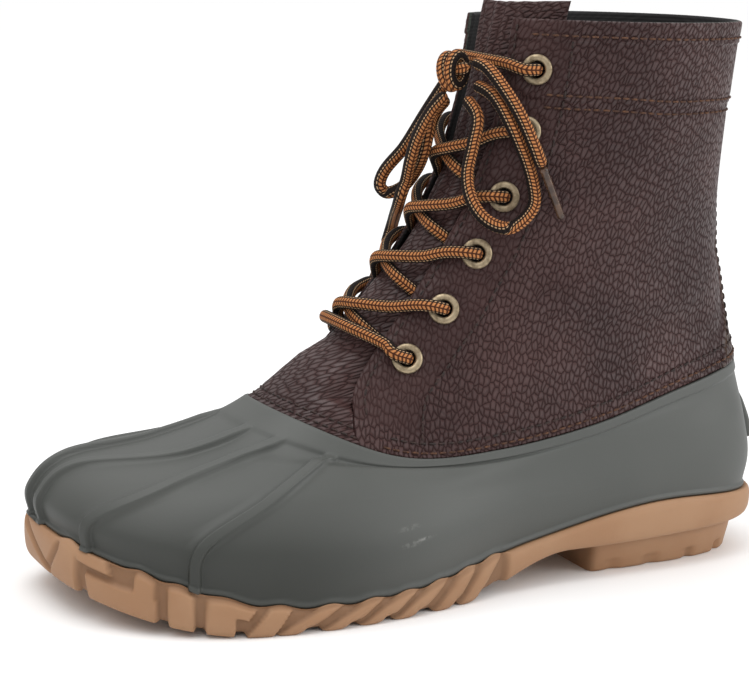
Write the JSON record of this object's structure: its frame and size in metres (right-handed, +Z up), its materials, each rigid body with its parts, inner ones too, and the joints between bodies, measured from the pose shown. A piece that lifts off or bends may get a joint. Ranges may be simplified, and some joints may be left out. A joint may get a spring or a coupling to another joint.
{
  "type": "duck boot",
  "caption": "Lace-up duck boot for a left foot: tumbled leather shaft over a ribbed rubber shell and a gum sole, tied with a bow.",
  "frame": {"origin": "middle of the boot's box on the floor, measured without the bow", "axes": "+X to the toe, +Y to the outer side of the foot, +Z up"},
  "size_m": [0.273, 0.1112, 0.2012],
  "materials": {
    "rubber": "satin moulded rubber",
    "gum": "matt gum rubber",
    "leather": "oiled tumbled leather",
    "lining": "black lining cloth",
    "brass": "antique brass",
    "cord": "braided lace in copper and black",
    "horn": "clear brown lace tip"
  },
  "bodies": {
    "root": {"shell": "rubber", "outsole": "gum", "insole": "lining", "upper": "leather", "eyelet_lateral_1": "brass", "eyelet_lateral_2": "brass", "eyelet_lateral_3": "brass", "eyelet_lateral_4": "brass", "eyelet_lateral_5": "brass", "eyelet_lateral_6": "brass", "eyelet_medial_1": "brass", "eyelet_medial_2": "brass", "eyelet_medial_3": "brass", "eyelet_medial_4": "brass", "eyelet_medial_5": "brass", "eyelet_medial_6": "brass", "tongue": "leather", "lace_cross_2": "cord", "lace_cross_3": "cord", "lace_cross_4": "cord", "lace_cross_5": "cord", "lace_bar_low": "cord", "lace_bar_top": "cord", "lace_knot": "cord", "lace_loop_right": "cord", "lace_loop_left": "cord", "lace_end_right": "cord", "lace_end_left": "cord", "aglet_right": "horn", "aglet_left": "horn"}
  },
  "joints": []
}
